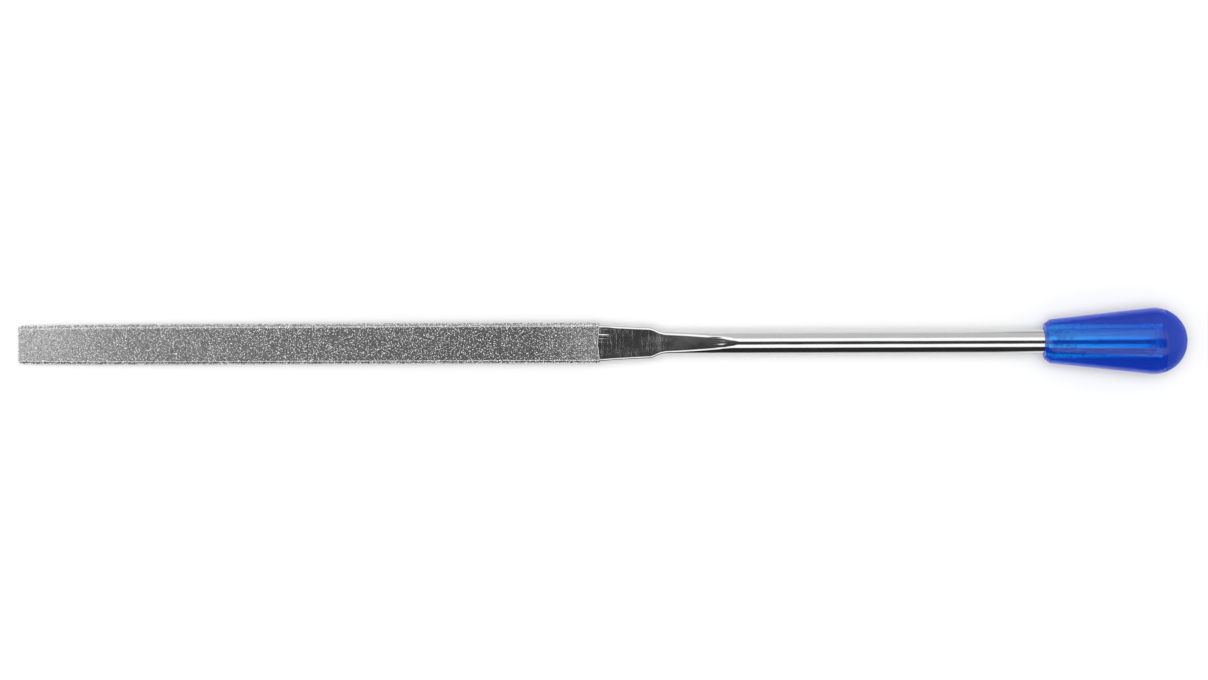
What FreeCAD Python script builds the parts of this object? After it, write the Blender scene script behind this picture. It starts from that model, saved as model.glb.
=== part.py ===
import FreeCAD, Part
import math
import os
import Sketcher

# Diamond needle file, flat section. The X axis runs along the tool, tip at -X and handle at +X.
# The two working faces look along +Z and -Z. The origin is on the axis, halfway along the tool.

# Driving sizes in millimetres, except the one angle, which is in degrees.
SIZES = {
    "overall_length": 150.0,
    "blade_width": 4.85,
    "blade_thickness": 1.4,
    "tip_width": 4.55,
    "tip_taper_length": 17.0,
    "tip_corner_radius": 0.25,
    "bond_thickness": 0.10,
    "grit_height": 0.08,
    "coated_length": 75.0,
    "bond_edge_radius": 0.15,
    "neck_start": -0.3,
    "neck_arc_radius": 150.0,
    "neck_width": 4.16,
    "shoulder_start": 6.0,
    "shoulder_middle": 7.15,
    "shoulder_middle_width": 3.6,
    "shoulder_end": 8.55,
    "shank_diameter": 3.0,
    "shank_end": 71.1,
    "shank_chamfer": 0.3,
    "flat_ramp_start": 4.8,
    "flat_ramp_straight": 9.6,
    "flat_ramp_rise": 0.19,
    "flat_ramp_end": 17.6,
    "handle_mouth": 56.78,
    "handle_mouth_radius": 2.3,
    "handle_chamfer_length": 0.7,
    "handle_dome_radius": 4.24,
    "handle_taper_angle": 6.32,
    "bore_end": 71.5,
    "film_thickness": 0.05,
    "film_setback": 0.6,
}

# How far apart two positions may be and still be the same, in millimetres.
NEAR = 1e-6

# Positions and half sizes worked out from the sheet, as expressions.
TIP = "(-Sizes.overall_length / 2)"
TIP_TAPER_END = "(-Sizes.overall_length / 2 + Sizes.tip_taper_length)"
COATING = "(Sizes.bond_thickness + Sizes.grit_height)"
COATING_END = "(-Sizes.overall_length / 2 + Sizes.coated_length)"
HANDLE_END = "(Sizes.overall_length / 2)"
SHANK_RADIUS = "(Sizes.shank_diameter / 2)"
BORE_RADIUS = "(Sizes.shank_diameter / 2 + Sizes.film_thickness)"


def make_sheet(doc):
    """The spreadsheet of driving sizes, one row each: name, value, alias."""
    sheet = doc.addObject("Spreadsheet::Sheet", "Sizes")
    for row, (name, value) in enumerate(SIZES.items(), start=1):
        sheet.set(f"A{row}", name)
        sheet.set(f"B{row}", str(value))
        sheet.setAlias(f"B{row}", name)
    doc.recompute()
    return sheet


def make_body(doc, label):
    """An empty body with its own Label and Placement."""
    body = doc.addObject("PartDesign::Body", label)
    body.Label = label
    body.Placement = FreeCAD.Placement()
    doc.recompute()
    return body


def origin_plane(body, role):
    """One of the body's own origin planes, such as XY_Plane."""
    for feature in body.Origin.OriginFeatures:
        if feature.Role == role:
            return feature
    raise ValueError(role)


def attached_sketch(body, name, role, offset=None):
    """A sketch on one of the body's planes, moved along the plane's normal by an expression."""
    sketch = body.newObject("Sketcher::SketchObject", name)
    sketch.AttachmentSupport = [(origin_plane(body, role), "")]
    sketch.MapMode = "FlatFace"
    if offset:
        sketch.setExpression("AttachmentOffset.Base.z", offset)
    return sketch


def tangent_radius(run, rise):
    """Radius of an arc that starts along the axis and has moved sideways by rise after run."""
    return f"(({run}) ^ 2 + ({rise}) ^ 2) / (2 * ({rise}))"


def minor_arc(start, end, radius):
    """The short arc between two points. Its centre is left of the way from start to end when the
    radius is positive, right when it is negative. It is always drawn anticlockwise."""
    chord = end.sub(start)
    across = FreeCAD.Vector(-chord.y, chord.x, 0).normalize()
    reach = math.sqrt(radius**2 - (chord.Length / 2) ** 2)
    centre = start + chord * 0.5 + across * math.copysign(reach, radius)
    first, last = (start, end) if radius > 0 else (end, start)
    turns = [math.atan2(point.y - centre.y, point.x - centre.x) for point in (first, last)]
    circle = Part.Circle(centre, FreeCAD.Vector(0, 0, 1), abs(radius))
    return Part.ArcOfCircle(circle, turns[0], turns[1])


def closed_outline(sketch, corners):
    """A closed outline through corners given as (x, y, side), each coordinate an expression. The
    side to the next corner is straight when side is None, or else an arc whose signed radius it is."""
    value = sketch.evalExpression
    points = [FreeCAD.Vector(value(x), value(y), 0) for x, y, _ in corners]
    ends = []
    for index, (_, _, side) in enumerate(corners):
        start = points[index]
        end = points[(index + 1) % len(points)]
        if side is None:
            sketch.addGeometry(Part.LineSegment(start, end))
            ends.append((1, 2))
            continue
        radius = value(side)
        sketch.addGeometry(minor_arc(start, end, radius))
        ends.append((1, 2) if radius > 0 else (2, 1))
    for index, (x, y, side) in enumerate(corners):
        before = (index - 1) % len(corners)
        start = ends[index][0]
        sketch.addConstraint(Sketcher.Constraint("Coincident", before, ends[before][1], index, start))
        bind_place(sketch, "DistanceX", index, start, x)
        bind_place(sketch, "DistanceY", index, start, y)
        if side is not None:
            bind_radius(sketch, index, f"abs({side})")


def bind_place(sketch, kind, geometry, end, expression):
    """Holds one coordinate of a point, measured from the sketch's origin, at an expression."""
    value = sketch.evalExpression(expression)
    number = sketch.addConstraint(Sketcher.Constraint(kind, -1, 1, geometry, end, value))
    sketch.setExpression(f"Constraints[{number}]", expression)


def bind_radius(sketch, geometry, expression):
    """Holds the radius of an arc or a circle at an expression."""
    value = sketch.evalExpression(expression)
    number = sketch.addConstraint(Sketcher.Constraint("Radius", geometry, value))
    sketch.setExpression(f"Constraints[{number}]", expression)


def centred_circle(sketch, radius):
    """A circle about the sketch's origin whose radius is an expression."""
    size = sketch.evalExpression(radius)
    circle = sketch.addGeometry(Part.Circle(FreeCAD.Vector(0, 0, 0), FreeCAD.Vector(0, 0, 1), size))
    sketch.addConstraint(Sketcher.Constraint("Coincident", circle, 3, -1, 1))
    bind_radius(sketch, circle, radius)


def revolve(body, name, corners):
    """Turns an outline in the XY plane right round the X axis."""
    sketch = attached_sketch(body, f"{name}_outline", "XY_Plane")
    closed_outline(sketch, corners)
    turned = body.newObject("PartDesign::Revolution", name)
    turned.Profile = sketch
    turned.ReferenceAxis = (sketch, ["H_Axis"])
    turned.Angle = 360
    body.Document.recompute()
    return turned


def grind_flats(body, side_corners):
    """Cuts away what lies above a side outline in the XZ plane, and the same below."""
    doc = body.Document
    before = body.Shape.Volume
    sketch = attached_sketch(body, "flat_outline", "XZ_Plane")
    closed_outline(sketch, side_corners)
    top = body.newObject("PartDesign::Pocket", "top_flat")
    top.Profile = sketch
    top.Type = "ThroughAll"
    top.Midplane = True
    doc.recompute()
    both = body.newObject("PartDesign::Mirrored", "both_flats")
    both.Originals = [top]
    both.MirrorPlane = (origin_plane(body, "XY_Plane"), [""])
    body.Tip = both
    doc.recompute()
    top_cut = before - top.Shape.Volume
    both_cut = before - both.Shape.Volume
    if top_cut <= 0 or abs(both_cut - 2 * top_cut) > 0.01 * top_cut:
        raise RuntimeError(f"{body.Label}: the flats took off {top_cut} and {both_cut} mm3")
    return both


def blade_edge(growth):
    """The corners of one long side of the blade from the axis at the tip to the end of the tip's
    taper, moved out from the steel by growth."""
    tip = f"({TIP} + {COATING} - {growth})"
    half_width = f"(Sizes.blade_width / 2 + {growth})"
    half_tip = f"(Sizes.tip_width / 2 + {growth})"
    corner = f"(Sizes.tip_corner_radius + {growth})"
    return [
        (tip, "0", None),
        (tip, f"{half_tip} - {corner}", f"-{corner}"),
        (f"{tip} + {corner}", half_tip, None),
        (TIP_TAPER_END, half_width, None),
    ]


def round_long_edges(body, half_thickness, radius):
    """Rounds the edges of both flats, except where the coating ends."""
    flats = body.Tip
    level = flats.evalExpression(half_thickness)
    coating_end = flats.evalExpression(COATING_END)
    names = []
    for number, edge in enumerate(flats.Shape.Edges, start=1):
        heights = [vertex.Z for vertex in edge.Vertexes]
        on_a_flat = abs(abs(sum(heights)) - level * len(heights)) < NEAR
        at_the_end = all(abs(vertex.X - coating_end) < NEAR for vertex in edge.Vertexes)
        if on_a_flat and not at_the_end:
            names.append(f"Edge{number}")
    rounded = body.newObject("PartDesign::Fillet", "rounded_edges")
    rounded.Base = (flats, names)
    rounded.setExpression("Radius", radius)
    body.Document.recompute()


def flat_side(half_thickness, ramp):
    """The outline of what is cut off above one flat: level from beyond the tip, then the ramp."""
    beyond_tip = f"{TIP} - Sizes.blade_width"
    above = "Sizes.blade_width"
    last = ramp[-1]
    return [
        (beyond_tip, half_thickness, None),
        *ramp,
        (last[0], above, None),
        (beyond_tip, above, None),
    ]


def make_steel_blank(doc):
    """Blade core, neck, shoulder and round shank, all one piece of steel. Round everywhere about the
    axis, then ground flat on two sides; the flats run out on the shank."""
    body = make_body(doc, "steel_blank")
    half_thickness = "Sizes.blade_thickness / 2"
    ramp_run = "Sizes.flat_ramp_straight - Sizes.flat_ramp_start"
    shoulder_out = tangent_radius(
        "Sizes.shoulder_middle - Sizes.shoulder_start",
        "(Sizes.neck_width - Sizes.shoulder_middle_width) / 2",
    )
    shoulder_in = tangent_radius(
        "Sizes.shoulder_end - Sizes.shoulder_middle",
        f"Sizes.shoulder_middle_width / 2 - {SHANK_RADIUS}",
    )
    revolve(
        body,
        "turned_form",
        [
            *blade_edge("0"),
            ("Sizes.neck_start", "Sizes.blade_width / 2", "Sizes.neck_arc_radius"),
            ("Sizes.shoulder_start", "Sizes.neck_width / 2", f"-({shoulder_out})"),
            ("Sizes.shoulder_middle", "Sizes.shoulder_middle_width / 2", shoulder_in),
            ("Sizes.shoulder_end", SHANK_RADIUS, None),
            ("Sizes.shank_end - Sizes.shank_chamfer", SHANK_RADIUS, None),
            ("Sizes.shank_end", f"{SHANK_RADIUS} - Sizes.shank_chamfer", None),
            ("Sizes.shank_end", "0", None),
        ],
    )
    grind_flats(
        body,
        flat_side(
            half_thickness,
            [
                ("Sizes.flat_ramp_start", half_thickness, tangent_radius(ramp_run, "Sizes.flat_ramp_rise")),
                ("Sizes.flat_ramp_straight", f"{half_thickness} + Sizes.flat_ramp_rise", None),
                ("Sizes.flat_ramp_end", SHANK_RADIUS, None),
            ],
        ),
    )
    return body


def make_blade_envelope(doc, label, growth, edge_radius):
    """The coated blade's outside at one level of the coating, which is growth out from the steel."""
    body = make_body(doc, label)
    half_width = f"Sizes.blade_width / 2 + {growth}"
    half_thickness = f"Sizes.blade_thickness / 2 + {growth}"
    revolve(
        body,
        "turned_form",
        [
            *blade_edge(growth),
            (COATING_END, half_width, None),
            (COATING_END, "0", None),
        ],
    )
    beyond_coating = f"{COATING_END} + Sizes.blade_width"
    grind_flats(body, flat_side(half_thickness, [(beyond_coating, half_thickness, None)]))
    round_long_edges(body, half_thickness, edge_radius)
    return body


def make_cut(doc, label, outside, inside):
    """A layer: everything in outside that is not in inside."""
    layer = doc.addObject("Part::Cut", label)
    layer.Label = label
    layer.Base = outside
    layer.Tool = inside
    layer.Placement = FreeCAD.Placement()
    doc.recompute()
    return layer


def make_handle(doc):
    """A cone with a chamfered mouth and a hemispherical end that it is tangent to, with a blind bore."""
    body = make_body(doc, "handle")
    taper = "Sizes.handle_taper_angle"
    dome = "Sizes.handle_dome_radius"
    tangent_x = f"({HANDLE_END} - {dome} * (1 + sin({taper})))"
    tangent_y = f"({dome} * cos({taper}))"
    chamfer_x = "(Sizes.handle_mouth + Sizes.handle_chamfer_length)"
    chamfer_y = f"({tangent_y} - ({tangent_x} - {chamfer_x}) * tan({taper}))"
    solid = revolve(
        body,
        "moulding",
        [
            ("Sizes.handle_mouth", "0", None),
            ("Sizes.handle_mouth", "Sizes.handle_mouth_radius", None),
            (chamfer_x, chamfer_y, None),
            (tangent_x, tangent_y, f"-{dome}"),
            (HANDLE_END, "0", None),
        ],
    )
    mouth = attached_sketch(body, "bore_outline", "YZ_Plane", "Sizes.handle_mouth")
    centred_circle(mouth, BORE_RADIUS)
    bore = body.newObject("PartDesign::Pocket", "bore")
    bore.Profile = mouth
    bore.Reversed = True
    bore.setExpression("Length", "Sizes.bore_end - Sizes.handle_mouth")
    doc.recompute()
    depth = mouth.evalExpression("Sizes.bore_end - Sizes.handle_mouth")
    wanted = math.pi * mouth.evalExpression(BORE_RADIUS) ** 2 * depth
    taken = solid.Shape.Volume - bore.Shape.Volume
    if abs(taken - wanted) > 0.01 * wanted:
        raise RuntimeError(f"the bore took off {taken} mm3, not {wanted}")
    return body


def make_adhesive_film(doc):
    """The thin sleeve of adhesive between the shank and the handle's bore."""
    body = make_body(doc, "adhesive_film")
    ring = attached_sketch(body, "ring", "YZ_Plane", "Sizes.handle_mouth + Sizes.film_setback")
    centred_circle(ring, SHANK_RADIUS)
    centred_circle(ring, BORE_RADIUS)
    sleeve = body.newObject("PartDesign::Pad", "sleeve")
    sleeve.Profile = ring
    start = "Sizes.handle_mouth + Sizes.film_setback"
    sleeve.setExpression("Length", f"Sizes.shank_end - Sizes.shank_chamfer - ({start})")
    doc.recompute()
    return body


def check(doc, parts):
    """Stops if any object failed to compute, or a sub-part is not one valid solid."""
    for item in doc.Objects:
        if "Invalid" in item.State or "Error" in item.State:
            raise RuntimeError(f"{item.Label}: {item.State}")
    for part in parts:
        shape = part.Shape
        if shape.isNull() or not shape.isValid() or len(shape.Solids) != 1:
            raise RuntimeError(f"{part.Label} is not one valid solid")


def main():
    doc = FreeCAD.newDocument("FlatFile")
    make_sheet(doc)
    steel_blank = make_steel_blank(doc)
    bond_edge = "Sizes.bond_edge_radius"
    grit_edge = "Sizes.bond_edge_radius + Sizes.grit_height"
    bond_outside = make_blade_envelope(doc, "bond_outside", "Sizes.bond_thickness", bond_edge)
    grit_outside = make_blade_envelope(doc, "grit_outside", COATING, grit_edge)
    parts = [
        steel_blank,
        make_cut(doc, "nickel_bond", bond_outside, steel_blank),
        make_cut(doc, "diamond_grit", grit_outside, bond_outside),
        make_handle(doc),
        make_adhesive_film(doc),
    ]
    check(doc, parts)
    os.makedirs("parts", exist_ok=True)
    for part in parts:
        part.Shape.exportStep(f"parts/{part.Label}.step")
        box = part.Shape.optimalBoundingBox()
        print(
            f"{part.Label}: volume {part.Shape.Volume:.3f} mm3,"
            f" X {box.XMin:.3f} to {box.XMax:.3f},"
            f" Y {box.YMin:.3f} to {box.YMax:.3f},"
            f" Z {box.ZMin:.3f} to {box.ZMax:.3f}"
        )


main()
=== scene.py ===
import bmesh
import bpy
import math
import numpy as np
from mathutils import Matrix, Vector


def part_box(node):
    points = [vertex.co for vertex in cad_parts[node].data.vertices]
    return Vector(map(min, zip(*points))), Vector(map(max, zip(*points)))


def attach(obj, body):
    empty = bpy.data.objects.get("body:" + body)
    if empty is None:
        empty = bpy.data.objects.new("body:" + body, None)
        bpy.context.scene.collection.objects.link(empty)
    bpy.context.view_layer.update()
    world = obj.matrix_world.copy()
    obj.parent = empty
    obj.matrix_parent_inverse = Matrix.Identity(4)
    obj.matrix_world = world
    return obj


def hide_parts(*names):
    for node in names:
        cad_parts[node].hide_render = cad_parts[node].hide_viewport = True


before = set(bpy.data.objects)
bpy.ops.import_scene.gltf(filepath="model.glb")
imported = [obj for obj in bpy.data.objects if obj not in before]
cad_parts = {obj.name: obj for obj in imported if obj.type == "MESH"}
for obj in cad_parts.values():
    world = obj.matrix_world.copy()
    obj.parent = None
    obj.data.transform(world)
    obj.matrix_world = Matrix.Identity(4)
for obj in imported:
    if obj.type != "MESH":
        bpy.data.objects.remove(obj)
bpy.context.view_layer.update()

MM = 0.001
SHARP_ANGLE = math.radians(40)

# Where things are along the tool, read from the frame.
grit_low, grit_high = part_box("diamond_grit")
bond_low, bond_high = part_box("nickel_bond")
steel_low, steel_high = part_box("steel_blank")
handle_low, handle_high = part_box("handle")
COATING_END_X = grit_high.x
BOND_THICKNESS = bond_high.y - steel_high.y
GRIT_HEIGHT = grit_high.y - bond_high.y
SHANK_RADIUS = steel_high.z
BLADE_HALF_WIDTH = steel_high.y
BLADE_HALF_THICKNESS = grit_high.z - BOND_THICKNESS - GRIT_HEIGHT
HANDLE_RADIUS = handle_high.z
DOME_CENTRE_X = handle_high.x - HANDLE_RADIUS

# Sizes that the frame's boxes don't show, as in the CAD model.
TIP_HALF_WIDTH = 2.275 * MM
TIP_TAPER_END_X = grit_low.x + 17 * MM
NECK_START_X = -0.3 * MM
NECK_ARC_RADIUS = 150 * MM
NECK_HALF_WIDTH = 2.08 * MM
SHOULDER_X = (6.0 * MM, 7.15 * MM, 8.55 * MM)
SHOULDER_MIDDLE_HALF_WIDTH = 1.8 * MM
RAMP_X = (4.8 * MM, 9.6 * MM, 17.6 * MM)
RAMP_RISE = 0.19 * MM
SHANK_CHAMFER = 0.3 * MM
TAPER_ANGLE = math.radians(6.32)
MOUTH_RADIUS = 2.3 * MM
MOUTH_CHAMFER = 0.7 * MM
BORE_RADIUS = SHANK_RADIUS + 0.05 * MM
BORE_END_X = 71.5 * MM
RESIN_START_X = 57.38 * MM

# Finer shapes than the CAD model holds. The steel's long edges are rolled over, along a run on the flat
# and a drop on the side. The run takes up no more than a share of half the flat.
TIP_CORNER = 0.12 * MM
EDGE_RUN = 0.34 * MM
EDGE_DROP = 0.2 * MM
EDGE_MOST_OF_FLAT = 0.8

# The coating stops short of the CAD model's by a gap that grows from edge to middle, and thins out over
# a rim. Rings are close together from just before it.
CLOSE_RINGS_X = COATING_END_X - 1 * MM
COATING_RIM = 0.13 * MM
COATING_EDGE_GAP = 0.03 * MM
COATING_MIDDLE_GAP = 0.3 * MM
COATING_RAGGEDNESS = 0.03 * MM

# One grain sits in each cell of the plated surface, and a grid of grains (across, high) on the tip's end.
# A lift is how much of the grit's height a grain stands up.
GRAIN_CELL = 0.19 * MM
GRAIN_SIZES = (0.12 * MM, 0.2 * MM)
GRAIN_KINDS = 8
TIP_GRAINS = (20, 7)
FACE_GRAIN_LIFTS = (0.45, 0.98)
EDGE_GRAIN_LIFTS = (0.85, 1.0)

# The handle's edges and the parting line where its frosted dome starts.
HANDLE_EDGE_BREAK = 0.05 * MM
BORE_LEAD_IN = 0.08 * MM
PARTING_X = 72.0 * MM
PARTING_DEPTH = 0.02 * MM
PARTING_WIDTH = 0.05 * MM

# Where resin wets the bore's wall, the plastic reaches just into the steel, so that no air is left
# between. Dry patches are more common near the mouth (from, most until, no more by) and near the
# steel's end (from, most by).
WETTED_RADIUS = SHANK_RADIUS - 0.01 * MM
DRY_PATCH = 0.4 * MM
DRY_NEAR_MOUTH_X = (RESIN_START_X + 0.4 * MM, 58 * MM, 66 * MM)
DRY_NEAR_END_X = (68.5 * MM, 70.5 * MM)

# Depths of the steel's marks and waves, and where looks change on the tool. A pair holds the start and
# the end of one smooth change.
FLAT_MARK_DEPTH = 0.008 * MM
SHANK_MARK_DEPTH = 0.0015 * MM
WAVE_DEPTH = 0.08 * MM
WAVINESS = 1.4
WAVY_BY_COATING_X = (0, 2.2 * MM)
WAVY_BY_COATING_Y = (-0.1 * MM, 0.4 * MM)
WAVY_RUN_OUT_X = ((13.3 * MM, 14.8 * MM), (15.2 * MM, 16.5 * MM))
DULL_GRIND_START_X = ((6.8 * MM, 7.5 * MM), (7.5 * MM, 8.2 * MM))
# Painted light: over these two stretches the nickel is tinted lighter, for its brighter reflection near the
# coating's end and towards the tip.
PAINTED_LIGHT_COATING_END_X = (COATING_END_X - 10 * MM, COATING_END_X)
PAINTED_LIGHT_TIP_X = (grit_low.x, grit_low.x + 16 * MM)
FROSTED_X = (PARTING_X - 0.02 * MM, PARTING_X + 0.02 * MM)

# The dark gap overhead in the tent, as components of a unit direction.
GAP_MIDDLE_X = 0.075
GAP_MIDDLE_Y = -0.135
GAP_REACH_TO_TIP = 0.305
GAP_REACH_TO_HANDLE = 0.6
GAP_REACH_Y = 0.265
GAP_EDGE = (0.6, 1.5)
GAP_LEVEL = 0.06
TENT_LEVEL = 1.6

# Where the tent's level changes round the tool's axis, in degrees from straight up towards +Y.
TENT_BACK = (34, 40)
TENT_BACK_LEVEL = 0.5
TENT_FRONT = (-59, -53)
TENT_FRONT_LEVEL = 0.02

# Painted shade on the floor that only mirrors see, in the floor's own space, whose origin is under the dome's
# centre. The dark part in front is further from the handle than from the blade.
FLOOR_BY_HANDLE_X = (-20 * MM, -12 * MM)
FLOOR_FRONT_Y = (-10 * MM, -2.5 * MM)
FLOOR_FRONT_OFFSET = 5 * MM
FLOOR_BACK_Y = (8 * MM, 20 * MM)
FLOOR_BRIGHTNESS = 0.9

LAMP_HEIGHT = 0.8

# The tool lies on its tip's lower edge and on the handle's belly, so the floor slopes in its frame.
FLOOR_SLOPE = math.asin((HANDLE_RADIUS - grit_high.z) / (DOME_CENTRE_X - grit_low.x))
FLOOR_UP = Vector((math.sin(FLOOR_SLOPE), 0, math.cos(FLOOR_SLOPE)))
FLOOR_POINT = Vector((DOME_CENTRE_X, 0, 0)) - FLOOR_UP * HANDLE_RADIUS

CAMERA_DISTANCE = 390 * MM
CAMERA_TARGET = Vector((0.45 * MM, 0.36 * MM, 0))
CAMERA_ROLL = math.radians(-0.21)
VIEW_WIDTH = 155.07 * MM
SENSOR_WIDTH = 36.0


class Graph:
    """Adds nodes to a node tree. An input is given as a value or as the socket that it is linked to."""

    def __init__(self, tree):
        self.tree = tree

    def add(self, kind, inputs, **settings):
        node = self.tree.nodes.new("ShaderNode" + kind)
        for name, value in settings.items():
            setattr(node, name, value)
        for name, value in inputs.items():
            self.feed(node.inputs[name], value)
        return node

    def feed(self, socket, value):
        if isinstance(value, bpy.types.NodeSocket):
            self.tree.links.new(value, socket)
        else:
            socket.default_value = value

    def math(self, operation, *values):
        return self.add("Math", dict(enumerate(values)), operation=operation).outputs[0]

    def step(self, value, low, high, from_value=0.0, to_value=1.0):
        """A smooth step from one value to another as the input goes from low to high."""
        inputs = {"Value": value, "From Min": low, "From Max": high, "To Min": from_value, "To Max": to_value}
        return self.add("MapRange", inputs, interpolation_type="SMOOTHSTEP").outputs[0]

    def band(self, value, rise, fall, height):
        """A smooth rise from 0 to 1 over one stretch, times a smooth fall from a height to 0 over another."""
        return self.math("MULTIPLY", self.step(value, *rise), self.step(value, *fall, height, 0.0))

    def noise(self, place, scales, detail):
        """Noise over a place whose x, y and z are each multiplied by a scale, per metre."""
        stretched = self.add("VectorMath", {0: place, 1: scales}, operation="MULTIPLY").outputs[0]
        return self.add("TexNoise", {"Vector": stretched, "Scale": 1.0, "Detail": detail}).outputs["Fac"]

    def bump(self, height, distance, normal=None):
        inputs = {"Height": height, "Distance": distance}
        if normal is not None:
            inputs["Normal"] = normal
        return self.add("Bump", inputs).outputs[0]

    def mix(self, share, first, second):
        """A mix of two colours."""
        return self.add("Mix", {0: share, 6: first, 7: second}, data_type="RGBA").outputs[2]

    def blend(self, share, first, second):
        """A mix of two numbers."""
        return self.add("Mix", {0: share, 2: first, 3: second}, data_type="FLOAT").outputs[0]

    def grey(self, level):
        """A colour whose red, green and blue are one level."""
        return self.add("CombineColor", {0: level, 1: level, 2: level}).outputs[0]


def node_material(name):
    """A material, its Principled node, a graph over its tree, and the place in the object's space."""
    material = bpy.data.materials.new(name)
    material.use_nodes = True
    graph = Graph(material.node_tree)
    place = graph.add("TexCoord", {}).outputs["Object"]
    return material, material.node_tree.nodes["Principled BSDF"], graph, place


def make_camera():
    """A camera straight above the floor, looking down on the tool."""
    data = bpy.data.cameras.new("camera")
    data.sensor_width = SENSOR_WIDTH
    data.lens = SENSOR_WIDTH * CAMERA_DISTANCE / VIEW_WIDTH
    data.clip_start = 0.01
    data.clip_end = 10
    camera = bpy.data.objects.new("camera", data)
    bpy.context.scene.collection.objects.link(camera)
    tilt = Matrix.Rotation(FLOOR_SLOPE, 4, "Y")
    roll = Matrix.Rotation(CAMERA_ROLL, 4, "Z")
    camera.matrix_world = Matrix.Translation(CAMERA_TARGET + FLOOR_UP * CAMERA_DISTANCE) @ tilt @ roll
    bpy.context.scene.camera = camera


def add_piece(name, mesh, material, slot, *nodes):
    """Adds an object for a mesh that rides on the tool's body and stands for CAD nodes."""
    piece = bpy.data.objects.new(name, mesh)
    bpy.context.scene.collection.objects.link(piece)
    mesh.materials.append(material)
    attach(piece, "root")
    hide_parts(*nodes)


def rings_mesh(name, rings):
    """A closed mesh through rings of equal length, given as (stations, points, 3), with flat ends."""
    stations, around, _ = rings.shape
    here = np.arange(around)
    after = (here + 1) % around
    low = (np.arange(stations - 1) * around)[:, None]
    quads = np.stack([low + here, low + after, low + after + around, low + here + around], axis=2)
    faces = quads.reshape(-1, 4).tolist()
    faces.append(here[::-1].tolist())
    faces.append((here + (stations - 1) * around).tolist())
    mesh = bpy.data.meshes.new(name)
    mesh.from_pydata(rings.reshape(-1, 3).tolist(), [], faces)
    shape = bmesh.new()
    shape.from_mesh(mesh)
    bmesh.ops.recalc_face_normals(shape, faces=shape.faces)
    shape.to_mesh(mesh)
    shape.free()
    mesh.polygons.foreach_set("use_smooth", np.ones(len(mesh.polygons), dtype=bool))
    mesh.set_sharp_from_angle(angle=SHARP_ANGLE)
    return mesh


def tangent_arc(run, rise, at):
    """How far an arc has moved sideways after at, if it starts level and has moved by rise after run."""
    radius = (run**2 + rise**2) / (2 * rise)
    return radius - np.sqrt(radius**2 - at**2)


def half_width(x):
    """Half the steel's width at x, over an array."""
    width = np.full_like(x, SHANK_RADIUS)
    width[x < NECK_START_X] = BLADE_HALF_WIDTH
    part = x < TIP_TAPER_END_X
    share = (TIP_TAPER_END_X - x[part]) / (TIP_TAPER_END_X - steel_low.x)
    width[part] -= (BLADE_HALF_WIDTH - TIP_HALF_WIDTH) * share**2
    part = x < steel_low.x + TIP_CORNER
    into_corner = (steel_low.x + TIP_CORNER - x[part]).clip(0, TIP_CORNER)
    width[part] -= TIP_CORNER - np.sqrt(TIP_CORNER**2 - into_corner**2)
    start, middle, end = SHOULDER_X
    part = (x >= NECK_START_X) & (x < start)
    share = (x[part] - NECK_START_X) / (start - NECK_START_X)
    sag = (start - NECK_START_X) ** 2 / (2 * NECK_ARC_RADIUS) * share * (1 - share)
    width[part] = BLADE_HALF_WIDTH + (NECK_HALF_WIDTH - BLADE_HALF_WIDTH) * share - sag
    part = (x >= start) & (x < middle)
    drop = NECK_HALF_WIDTH - SHOULDER_MIDDLE_HALF_WIDTH
    width[part] = NECK_HALF_WIDTH - tangent_arc(middle - start, drop, x[part] - start)
    part = (x >= middle) & (x < end)
    drop = SHOULDER_MIDDLE_HALF_WIDTH - SHANK_RADIUS
    width[part] = SHANK_RADIUS + tangent_arc(end - middle, drop, end - x[part])
    return width


def half_height(x):
    """How far the ground flats are from the axis at x, over an array."""
    start, straight, end = RAMP_X
    height = np.full_like(x, BLADE_HALF_THICKNESS)
    part = (x >= start) & (x < straight)
    height[part] += tangent_arc(straight - start, RAMP_RISE, x[part] - start)
    part = x >= straight
    foot = BLADE_HALF_THICKNESS + RAMP_RISE
    height[part] = foot + (SHANK_RADIUS - foot) * (x[part] - straight) / (end - straight)
    return height


def section(width, height, turn, growth):
    """A ring (y, z) of a round bar ground flat, its edges rolled over and all of it grown outwards.

    The roll narrows where the flat runs out. A coating's roll is hardly longer on the flat than the
    steel's under it."""
    width, height = width + growth, height + growth
    quarter = np.arctan2(np.abs(np.sin(turn)), np.abs(np.cos(turn)))
    reach = np.full_like(turn, width)
    if height < width:
        corner = np.array([math.sqrt(width**2 - height**2), height])
        share = min(1, EDGE_MOST_OF_FLAT * corner[0] / EDGE_RUN)
        run, drop = share * (EDGE_RUN + 0.2 * growth), share * (EDGE_DROP + growth)
        side_end = math.asin(height / width) - drop / width
        first = width * np.array([math.cos(side_end), math.sin(side_end)])
        last = corner - [run, 0]
        part = np.linspace(0, 1, 60)[:, None]
        edge = (1 - part) ** 2 * first + 2 * part * (1 - part) * corner + part**2 * last
        on_edge = quarter > side_end
        reach[on_edge] = np.interp(quarter[on_edge], np.arctan2(edge[:, 1], edge[:, 0]), np.hypot(*edge.T))
        on_flat = quarter > math.atan2(last[1], last[0])
        reach[on_flat] = height / np.sin(quarter[on_flat])
    return np.stack([reach * np.cos(turn), reach * np.sin(turn)], axis=1)


def fine_turn():
    """Angles round a section, closest together where the blade's long edges are."""
    quarter = np.concatenate(
        [
            np.radians(np.linspace(0, 10, 6, endpoint=False)),
            np.radians(np.linspace(10, 36, 40, endpoint=False)),
            np.radians(np.linspace(36, 90, 40, endpoint=False)),
        ]
    )
    mirrored = math.pi - np.concatenate([quarter[1:], [math.pi / 2]])[::-1]
    half = np.concatenate([quarter, mirrored])
    return np.concatenate([half, half + math.pi])


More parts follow.
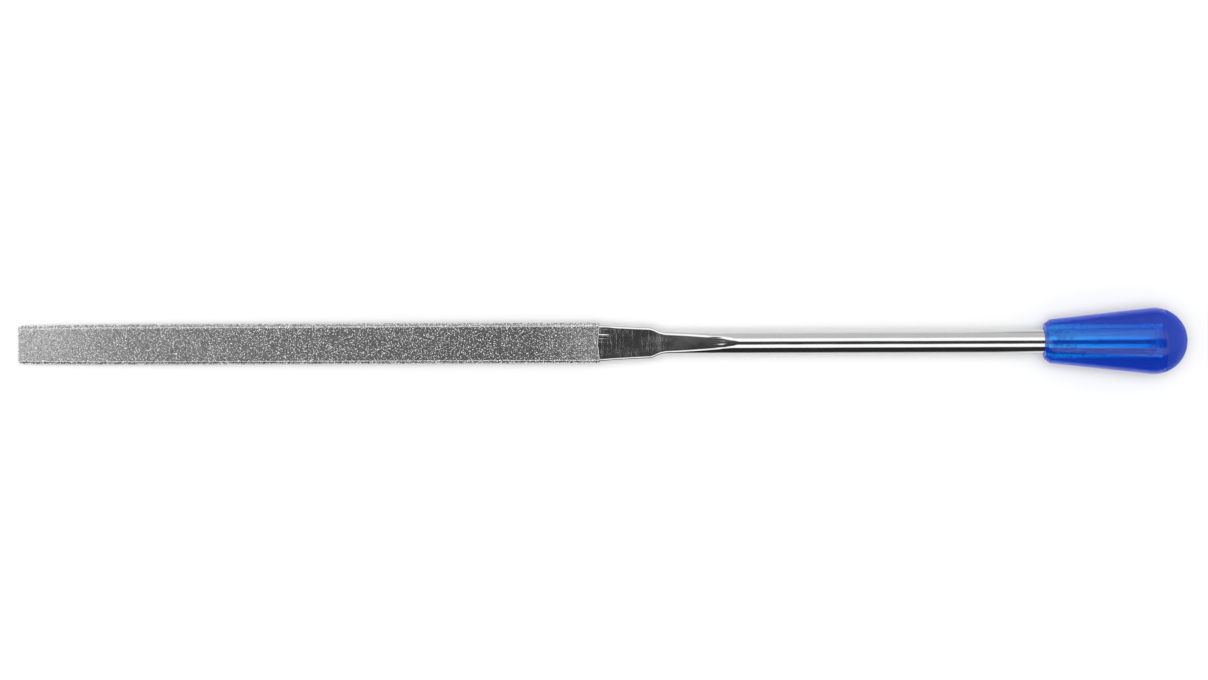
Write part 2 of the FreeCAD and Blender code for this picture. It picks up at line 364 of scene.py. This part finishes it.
def steel_rings(stations, turn, growth=0.0):
    """Rings of the steel's form at some stations, grown outwards."""
    widths, heights = half_width(stations), half_height(stations)
    rings = np.zeros((len(stations), len(turn), 3))
    for ring, x, width, height in zip(rings, stations, widths, heights):
        ring[:, 0] = x
        ring[:, 1:] = section(width, height, turn, growth)
    return rings


def steel_mesh():
    """The blank: blade core, neck with its shoulder, run-out of the flats, and round shank."""
    round_start_x = RAMP_X[2] + 0.3 * MM
    stations = np.concatenate(
        [
            np.linspace(steel_low.x, steel_low.x + TIP_CORNER, 5, endpoint=False),
            np.linspace(steel_low.x + TIP_CORNER, CLOSE_RINGS_X, 12, endpoint=False),
            np.linspace(CLOSE_RINGS_X, round_start_x, 150, endpoint=False),
            np.linspace(round_start_x, steel_high.x - SHANK_CHAMFER, 16),
        ]
    )
    rings = steel_rings(stations, fine_turn())
    end = rings[-1] * (1 - SHANK_CHAMFER / SHANK_RADIUS)
    end[:, 0] = steel_high.x
    return rings_mesh("steel_blank_ground", np.concatenate([rings, end[None]]))


def coating_end(turn):
    """Where the coating ends along the tool, at each angle round it: furthest at the long edges."""
    wave = (np.sin(11 * turn + 1) + np.sin(23 * turn) + 0.7 * np.sin(41 * turn + 2)) / 2.7
    middle_share = np.clip((np.abs(np.sin(turn)) ** 0.5 - 0.45) / 0.55, 0, 1)
    gap = COATING_EDGE_GAP + (COATING_MIDDLE_GAP - COATING_EDGE_GAP) * middle_share
    return COATING_END_X - gap + COATING_RAGGEDNESS * (wave - 1)


def ragged_ring(x, turn, growth):
    """A ring of the steel's form, grown outwards, whose points each have their own x."""
    widths, heights = half_width(x), half_height(x)
    ring = np.zeros((len(turn), 3))
    ring[:, 0] = x
    ring[:, 1:] = section(float(widths.mean()), float(heights.mean()), turn, growth)
    return ring


def nickel_mesh():
    """The plated bond: a shell round the blade and over its tip that thins out to a rounded rim."""
    turn = fine_turn()
    tip = []
    for share, x in ((0.5, bond_low.x), (0.9, bond_low.x + 0.02 * MM)):
        ring = steel_rings(np.array([steel_low.x]), turn, BOND_THICKNESS * share)[0]
        ring[:, 0] = x
        tip.append(ring)
    corner_end_x = steel_low.x + TIP_CORNER
    corner = steel_rings(np.linspace(steel_low.x, corner_end_x, 5, endpoint=False), turn, BOND_THICKNESS)
    middle = steel_rings(np.linspace(corner_end_x, CLOSE_RINGS_X, 60, endpoint=False), turn, BOND_THICKNESS)
    end = []
    rim_x = coating_end(turn) - COATING_RIM
    for part in np.linspace(0, 1, 24):
        end.append(ragged_ring(CLOSE_RINGS_X + part * (rim_x - CLOSE_RINGS_X), turn, BOND_THICKNESS))
    for angle in np.linspace(0, math.pi / 2, 7)[1:]:
        end.append(ragged_ring(rim_x + COATING_RIM * math.sin(angle), turn, BOND_THICKNESS * math.cos(angle)))
    inner = steel_rings(np.array([CLOSE_RINGS_X, corner_end_x, steel_low.x]), turn)
    rings = np.concatenate([np.array(tip), corner, middle, np.array(end), inner])
    return rings_mesh("nickel_bond_plated", rings)


def grain_shapes(count, rng):
    """A few irregular crystals of size 1, each as corners about the origin and triangles."""
    shapes = []
    while len(shapes) < count:
        corners = rng.normal(size=(9, 3))
        corners *= (0.5 * rng.uniform(0.8, 1.0, 9) / np.linalg.norm(corners, axis=1))[:, None]
        crystal = bmesh.new()
        for corner in corners:
            crystal.verts.new(corner)
        hull = bmesh.ops.convex_hull(crystal, input=crystal.verts)
        bmesh.ops.delete(crystal, geom=list(set(hull["geom_interior"])), context="VERTS")
        crystal.verts.ensure_lookup_table()
        crystal.verts.index_update()
        bmesh.ops.recalc_face_normals(crystal, faces=crystal.faces)
        points = np.array([vertex.co[:] for vertex in crystal.verts])
        triangles = np.array([[vertex.index for vertex in face.verts] for face in crystal.faces])
        crystal.free()
        shapes.append((points, triangles))
    return shapes


def random_turns(count, rng):
    """Random rotation matrices, from random unit quaternions."""
    quaternions = rng.normal(size=(count, 4))
    w, x, y, z = (quaternions / np.linalg.norm(quaternions, axis=1)[:, None]).T
    rows = [
        [1 - 2 * (y * y + z * z), 2 * (x * y - z * w), 2 * (x * z + y * w)],
        [2 * (x * y + z * w), 1 - 2 * (x * x + z * z), 2 * (y * z - x * w)],
        [2 * (x * z - y * w), 2 * (y * z + x * w), 1 - 2 * (x * x + y * y)],
    ]
    return np.moveaxis(np.array(rows), 2, 0)


def grain_places(rng):
    """Where grains sit on the plated surface, one to a cell, and which way each faces."""
    places, normals = [], []
    turn = np.linspace(0, 2 * math.pi, 721)
    nearby = 0.02 * MM
    for x in np.arange(bond_low.x + 0.6 * GRAIN_CELL, COATING_END_X, GRAIN_CELL):
        ring = steel_rings(np.array([max(x, steel_low.x)]), turn, BOND_THICKNESS)[0]
        lengths = np.concatenate([[0], np.cumsum(np.linalg.norm(np.diff(ring, axis=0), axis=1))])
        count = round(lengths[-1] / GRAIN_CELL)
        along = (np.arange(count) + rng.uniform(0.05, 0.95, count)) * lengths[-1] / count
        angle = np.interp(along, lengths, turn)
        y, z = (np.interp(along, lengths, ring[:, axis]) for axis in (1, 2))
        ahead_y, ahead_z = (np.interp(along + nearby, lengths, ring[:, axis]) for axis in (1, 2))
        behind_y, behind_z = (np.interp(along - nearby, lengths, ring[:, axis]) for axis in (1, 2))
        spread = x + GRAIN_CELL * rng.uniform(-0.45, 0.45, count)
        kept = spread < coating_end(angle) - COATING_RIM
        places.append(np.stack([spread, y, z], axis=1)[kept])
        outwards = np.stack([np.zeros(count), ahead_z - behind_z, behind_y - ahead_y], axis=1)
        normals.append(outwards[kept])
    across, high = TIP_GRAINS
    for y in np.linspace(TIP_CORNER - TIP_HALF_WIDTH, TIP_HALF_WIDTH - TIP_CORNER, across):
        z = np.linspace(-BLADE_HALF_THICKNESS, BLADE_HALF_THICKNESS, high)
        jitter = GRAIN_CELL * rng.uniform(-0.4, 0.4, (2, len(z)))
        places.append(np.stack([np.full_like(z, bond_low.x), y + jitter[0], z + jitter[1]], axis=1))
        normals.append(np.tile([-1.0, 0, 0], (len(z), 1)))
    places, normals = np.concatenate(places), np.concatenate(normals)
    return places, normals / np.linalg.norm(normals, axis=1)[:, None]


def grain_mesh(name, places, normals, shapes, lift_range, rng):
    """Crystals part sunk in the plated surface, as one mesh that stays inside the CAD model's box."""
    points, triangles, used = [], [], 0
    chosen = rng.integers(0, len(shapes), len(places))
    sizes = rng.uniform(*GRAIN_SIZES, len(places))
    lifts = GRIT_HEIGHT * rng.uniform(*lift_range, len(places))
    turns = random_turns(len(places), rng)
    for index, (corners, faces) in enumerate(shapes):
        these = chosen == index
        turned = np.einsum("nij,vj->nvi", turns[these], corners) * sizes[these][:, None, None]
        top = np.einsum("nvi,ni->nv", turned, normals[these]).max(axis=1)
        centres = places[these] + normals[these] * (lifts[these] - top)[:, None]
        points.append((turned + centres[:, None]).reshape(-1, 3))
        starts = used + np.arange(these.sum()) * len(corners)
        triangles.append((faces[None] + starts[:, None, None]).reshape(-1, 3))
        used += these.sum() * len(corners)
    points, triangles = np.concatenate(points), np.concatenate(triangles)
    points = points.clip([grit_low.x, -grit_high.y, -grit_high.z], list(grit_high))
    mesh = bpy.data.meshes.new(name)
    mesh.from_pydata(points.tolist(), [], triangles.tolist())
    return mesh


def make_grit(material):
    """The diamond grains, in one piece for each face of the blade and one for its edges and tip."""
    rng = np.random.default_rng(7)
    shapes = grain_shapes(GRAIN_KINDS, rng)
    places, normals = grain_places(rng)
    upper, lower = normals[:, 2] > 0.5, normals[:, 2] < -0.5
    regions = (
        ("top", upper, FACE_GRAIN_LIFTS),
        ("bottom", lower, FACE_GRAIN_LIFTS),
        ("edges", ~upper & ~lower, EDGE_GRAIN_LIFTS),
    )
    for name, chosen, lifts in regions:
        mesh = grain_mesh("grit_" + name, places[chosen], normals[chosen], shapes, lifts, rng)
        add_piece("diamond_grit_" + name, mesh, material, "diamond", "diamond_grit")


def patchy_noise(along, around, columns, rng):
    """Smooth noise from a random level at each whole number along a wall and around it."""
    levels = rng.normal(size=(math.ceil(along.max()) + 2, columns))
    row, column = np.floor(along).astype(int), np.floor(around).astype(int)
    row_share, column_share = along - row, around - column
    row_share = row_share**2 * (3 - 2 * row_share)
    column_share = column_share**2 * (3 - 2 * column_share)
    low, high = (
        levels[r, column % columns] * (1 - column_share) + levels[r, (column + 1) % columns] * column_share
        for r in (row, row + 1)
    )
    return low * (1 - row_share) + high * row_share


def dryness(stations, turn):
    """How dry the bore wall is, 0 where resin wets it and 1 where air does, at stations and angles."""
    rng = np.random.default_rng(5)
    along = ((stations - handle_low.x) / DRY_PATCH)[:, None]
    cells = round(2 * math.pi * BORE_RADIUS / DRY_PATCH)
    around = turn[None] / (2 * math.pi) * cells + 0.8 * along
    noise = patchy_noise(along, around, cells, rng)
    start, most, none = DRY_NEAR_MOUTH_X
    near_mouth = np.clip((none - stations) / (none - most), 0, 1) * (stations > start)
    start, most = DRY_NEAR_END_X
    near_end = np.clip((stations - start) / (most - start), 0, 1)
    wall = np.clip(2 * noise + 4 * (near_mouth + near_end)[:, None] - 3, 0, 1)
    wall[(stations < RESIN_START_X) | (stations > steel_high.x)] = 1
    return wall


def softened(corners, run):
    """A line of points whose inner corners are rounded over a short run on each side."""
    points = [corners[0]]
    for before, corner, after in zip(corners, corners[1:], corners[2:]):
        first = corner + (before - corner).normalized() * run
        last = corner + (after - corner).normalized() * run
        for part in np.linspace(0, 1, 5):
            points.append((1 - part) ** 2 * first + 2 * part * (1 - part) * corner + part**2 * last)
    return points + [corners[-1]]


def handle_mesh():
    """The moulded handle: blind bore, chamfered mouth, cone, parting line and dome."""
    turn = np.linspace(0, 2 * math.pi, 192, endpoint=False)
    mouth_x = handle_low.x
    stations = np.linspace(BORE_END_X, mouth_x + 2 * BORE_LEAD_IN, 200)
    profile = list(zip(stations, WETTED_RADIUS + (BORE_RADIUS - WETTED_RADIUS) * dryness(stations, turn)))
    cone_top = Vector((-math.sin(TAPER_ANGLE), math.cos(TAPER_ANGLE))) * HANDLE_RADIUS
    cone_top.x += DOME_CENTRE_X
    cone_start_x = mouth_x + MOUTH_CHAMFER
    cone_start = Vector((cone_start_x, cone_top.y - (cone_top.x - cone_start_x) * math.tan(TAPER_ANGLE)))
    corners = [
        Vector((mouth_x + BORE_LEAD_IN, BORE_RADIUS)),
        Vector((mouth_x, BORE_RADIUS + BORE_LEAD_IN)),
        Vector((mouth_x, MOUTH_RADIUS)),
        cone_start,
        cone_start.lerp(cone_top, 0.05),
    ]
    profile += softened(corners, HANDLE_EDGE_BREAK)
    profile += [cone_start.lerp(cone_top, share) for share in np.linspace(0.05, 1, 24)[1:]]
    for angle in np.linspace(-TAPER_ANGLE, math.pi / 2, 90)[1:-1]:
        x = DOME_CENTRE_X + HANDLE_RADIUS * math.sin(angle)
        groove = PARTING_DEPTH * math.exp(-(((x - PARTING_X) / PARTING_WIDTH) ** 2))
        profile.append((x, HANDLE_RADIUS * math.cos(angle) - groove))
    rings = np.zeros((len(profile), len(turn), 3))
    for ring, (x, radius) in zip(rings, profile):
        ring[:, 0] = x
        ring[:, 1] = radius * np.cos(turn)
        ring[:, 2] = radius * np.sin(turn)
    rings[-1, :, 0] = handle_high.x
    return rings_mesh("handle_moulded", rings)


def steel_material():
    """Bright steel: fine grinding marks across the flats, drawn lines along the round shank.

    The flats are wavy beside the coating and where they run out."""
    material, shader, graph, place = node_material("steel")
    x, y, _ = graph.add("SeparateXYZ", {0: place}).outputs
    round_share = graph.step(x, RAMP_X[1], RAMP_X[2])
    across = graph.noise(place, (9000, 500, 500), 3.0)
    along = graph.noise(place, (250, 14000, 14000), 2.0)
    marks = graph.mix(round_share, across, along)
    mark_depth = graph.step(x, RAMP_X[0], RAMP_X[1], FLAT_MARK_DEPTH, SHANK_MARK_DEPTH)
    marked = graph.bump(marks, mark_depth)
    beside_coating = graph.step(x, *WAVY_BY_COATING_X, WAVINESS, 0)
    beside_coating = graph.math("MULTIPLY", beside_coating, graph.step(y, *WAVY_BY_COATING_Y))
    run_out = graph.band(x, *WAVY_RUN_OUT_X, WAVINESS)
    waves = graph.math("SUBTRACT", graph.noise(place, (150, 1900, 0), 1.0), 0.5)
    wavy = graph.math("MULTIPLY", waves, graph.math("ADD", beside_coating, run_out))
    graph.feed(shader.inputs["Normal"], graph.bump(wavy, WAVE_DEPTH, marked))
    smudge = graph.noise(place, (300, 900, 900), 3.0)
    smudged = graph.step(smudge, 0.3, 0.7, 0.07, 0.13)
    score_roughness = graph.step(x, RAMP_X[0], RAMP_X[1], 0.15, 0.02)
    scored = graph.math("MULTIPLY", graph.step(across, 0.5, 0.75), score_roughness)
    duller = graph.math("ADD", scored, graph.band(x, *DULL_GRIND_START_X, 0.05))
    graph.feed(shader.inputs["Roughness"], graph.math("ADD", smudged, duller))
    tint = graph.mix(smudge, (0.60, 0.60, 0.60, 1), (0.65, 0.65, 0.65, 1))
    graph.feed(shader.inputs["Base Color"], tint)
    shader.inputs["Metallic"].default_value = 1
    return material


def nickel_material():
    """Dull plated nickel with a pebbled surface, duller near its end and towards the tip, and tinted lighter
    there as painted light for its brighter reflection.
    """
    material, shader, graph, place = node_material("nickel")
    pebbles = graph.noise(place, (9000, 9000, 9000), 3.0)
    x = graph.add("SeparateXYZ", {0: place}).outputs[0]
    # Painted light: a lighter, higher-contrast tint near the coating's end and towards the tip, for the
    # brighter reflection there. The same share also makes it duller.
    near_end = graph.step(x, *PAINTED_LIGHT_COATING_END_X, 0, 0.4)
    near_tip = graph.step(x, *PAINTED_LIGHT_TIP_X, 0.3, 0)
    painted_light_and_dullness = graph.math("ADD", near_end, near_tip)
    plain_tint = graph.mix(pebbles, (0.3, 0.3, 0.3, 1), (0.5, 0.5, 0.5, 1))
    painted_light_tint = graph.mix(graph.step(pebbles, 0.35, 0.65), (0.4, 0.4, 0.4, 1), (1.0, 1.0, 1.0, 1))
    graph.feed(shader.inputs["Base Color"], graph.mix(painted_light_and_dullness, plain_tint, painted_light_tint))
    graph.feed(shader.inputs["Normal"], graph.bump(pebbles, 0.007 * MM))
    pebbled = graph.step(pebbles, 0.3, 0.7, 0.15, 0.25)
    duller = graph.math("MULTIPLY", painted_light_and_dullness, 0.15)
    graph.feed(shader.inputs["Roughness"], graph.math("ADD", pebbled, duller))
    shader.inputs["Metallic"].default_value = 1
    return material


def diamond_material():
    """Diamond grains, each with its own grey from near black to near white."""
    material, shader, graph, place = node_material("diamond")
    island = graph.add("NewGeometry", {}).outputs["Random Per Island"]
    speck = graph.noise(place, (15000, 15000, 15000), 2.0)
    level = graph.math("ADD", island, graph.math("MULTIPLY", speck, 0.3))
    graph.feed(shader.inputs["Base Color"], graph.grey(graph.step(level, 0.45, 0.9)))
    graph.feed(shader.inputs["Roughness"], graph.step(island, 0, 1, 0.15, 0.4))
    shader.inputs["IOR"].default_value = 2.2
    return material


def handle_material():
    """Blue plastic, glossy on the cone and finely textured on the dome.

    The dye is in its depth. The sheen stands for the light that its slightly milky body sends back."""
    material, shader, graph, place = node_material("handle_plastic")
    x = graph.add("SeparateXYZ", {0: place}).outputs[0]
    dome = graph.step(x, *FROSTED_X)
    grain = graph.noise(place, (9000, 9000, 9000), 2.0)
    ripple = graph.noise(place, (60, 900, 900), 2.0)
    glossy = graph.step(ripple, 0.3, 0.7, 0.05, 0.12)
    graph.feed(shader.inputs["Roughness"], graph.blend(dome, glossy, 0.5))
    clear_tint = graph.mix(ripple, (0.85, 0.92, 0.98, 1), (0.9, 0.97, 1.0, 1))
    frosted_tint = graph.mix(grain, (0.7, 0.8, 0.95, 1), (0.8, 0.9, 1.0, 1))
    graph.feed(shader.inputs["Base Color"], graph.mix(dome, clear_tint, frosted_tint))
    graph.feed(shader.inputs["Normal"], graph.bump(graph.blend(dome, ripple, grain), 0.01 * MM))
    shader.inputs["IOR"].default_value = 1.49
    shader.inputs["Specular IOR Level"].default_value = 0.4
    shader.inputs["Transmission Weight"].default_value = 1.0
    shader.inputs["Sheen Weight"].default_value = 0.64
    shader.inputs["Sheen Roughness"].default_value = 1.0
    shader.inputs["Sheen Tint"].default_value = (0.015, 0.09, 1, 1)
    volume = graph.add("VolumeAbsorption", {"Color": (0.0, 0.875, 0.975, 1), "Density": 2000.0})
    output = material.node_tree.nodes["Material Output"]
    graph.feed(output.inputs["Volume"], volume.outputs[0])
    return material


def make_world():
    """A soft white tent with a dark gap overhead, dimmer low down towards +Y and dark low down towards -Y.

    The gap is a rounded rectangle that reaches further towards the handle than towards the tip. Matt
    surfaces see half the tent's level, as the overhead light lights them too. The camera sees white."""
    world = bpy.data.worlds.new("studio")
    bpy.context.scene.world = world
    world.use_nodes = True
    graph = Graph(world.node_tree)
    background = world.node_tree.nodes["Background"]
    background.inputs["Color"].default_value = (1, 1, 1, 1)
    way = graph.add("TexCoord", {}).outputs["Generated"]
    x, y, z = graph.add("SeparateXYZ", {0: way}).outputs
    along = graph.math("SUBTRACT", x, GAP_MIDDLE_X)
    to_tip = graph.math("DIVIDE", along, GAP_REACH_TO_TIP)
    to_handle = graph.math("DIVIDE", along, GAP_REACH_TO_HANDLE)
    gap_x = graph.math("MINIMUM", to_tip, to_handle)
    gap_y = graph.math("DIVIDE", graph.math("SUBTRACT", y, GAP_MIDDLE_Y), GAP_REACH_Y)
    gap = graph.math("ADD", graph.math("POWER", gap_x, 4), graph.math("POWER", gap_y, 4))
    above = graph.step(gap, *GAP_EDGE, GAP_LEVEL, TENT_LEVEL)
    sideways = graph.math("DEGREES", graph.math("ARCTAN2", y, z))
    back = graph.step(sideways, *TENT_BACK, 1.0, TENT_BACK_LEVEL)
    front = graph.step(sideways, *TENT_FRONT, TENT_FRONT_LEVEL, 1.0)
    level = graph.math("MULTIPLY", graph.math("MULTIPLY", above, back), front)
    path = graph.add("LightPath", {})
    matt = graph.math("SUBTRACT", 1, graph.math("MULTIPLY", path.outputs["Is Diffuse Ray"], 0.5))
    lit = graph.math("MULTIPLY", level, matt)
    graph.feed(background.inputs["Strength"], graph.blend(path.outputs["Is Camera Ray"], lit, 1.0))


def make_floor():
    """A large plain pale floor under the tool. Mirrors see painted shade on it: dark towards -Y, as they see
    the tent, and near the handle dimmer towards +Y too."""
    bpy.ops.mesh.primitive_plane_add(size=6)
    floor = bpy.context.object
    floor.name = "floor"
    floor.matrix_world = Matrix.Translation(FLOOR_POINT) @ Matrix.Rotation(FLOOR_SLOPE, 4, "Y")
    material, shader, graph, place = node_material("floor")
    x, y, _ = graph.add("SeparateXYZ", {0: place}).outputs
    # Painted shade: mirrors see the floor darker beside the tool towards -Y and, near the handle, towards +Y.
    # The camera and matt surfaces see it plain.
    by_handle = graph.step(x, *FLOOR_BY_HANDLE_X)
    beside_tool = graph.math("ADD", y, graph.math("MULTIPLY", by_handle, FLOOR_FRONT_OFFSET))
    front_shade = graph.step(beside_tool, *FLOOR_FRONT_Y, TENT_FRONT_LEVEL, FLOOR_BRIGHTNESS)
    painted_dimming = graph.math("MULTIPLY", by_handle, graph.step(y, *FLOOR_BACK_Y, 0, 0.7))
    painted_shade_in_mirror = graph.grey(graph.math("SUBTRACT", front_shade, painted_dimming))
    by_mirror = graph.add("LightPath", {}).outputs["Is Glossy Ray"]
    plain = (FLOOR_BRIGHTNESS, FLOOR_BRIGHTNESS, FLOOR_BRIGHTNESS, 1)
    graph.feed(shader.inputs["Base Color"], graph.mix(by_mirror, plain, painted_shade_in_mirror))
    shader.inputs["Roughness"].default_value = 0.12
    floor.data.materials.append(material)


def make_overhead_light():
    """A broad soft light that matt surfaces see and mirrors don't."""
    data = bpy.data.lights.new("overhead", "AREA")
    data.shape = "DISK"
    data.size = 0.5
    data.energy = 4.7
    light = bpy.data.objects.new("overhead", data)
    light.matrix_world = Matrix.Translation((0, 0, LAMP_HEIGHT))
    light.visible_glossy = False
    light.visible_transmission = False
    bpy.context.scene.collection.objects.link(light)


bpy.context.scene.view_settings.view_transform = "Standard"

# No light is followed through the handle to the floor, so that its shadow is plain and soft.
bpy.context.scene.cycles.caustics_refractive = False

make_camera()
make_world()
make_floor()
make_overhead_light()
add_piece("steel_blank_ground", steel_mesh(), steel_material(), "steel", "steel_blank")
add_piece("nickel_bond_plated", nickel_mesh(), nickel_material(), "nickel", "nickel_bond")
make_grit(diamond_material())
add_piece("handle_moulded", handle_mesh(), handle_material(), "handle_plastic", "handle", "adhesive_film")
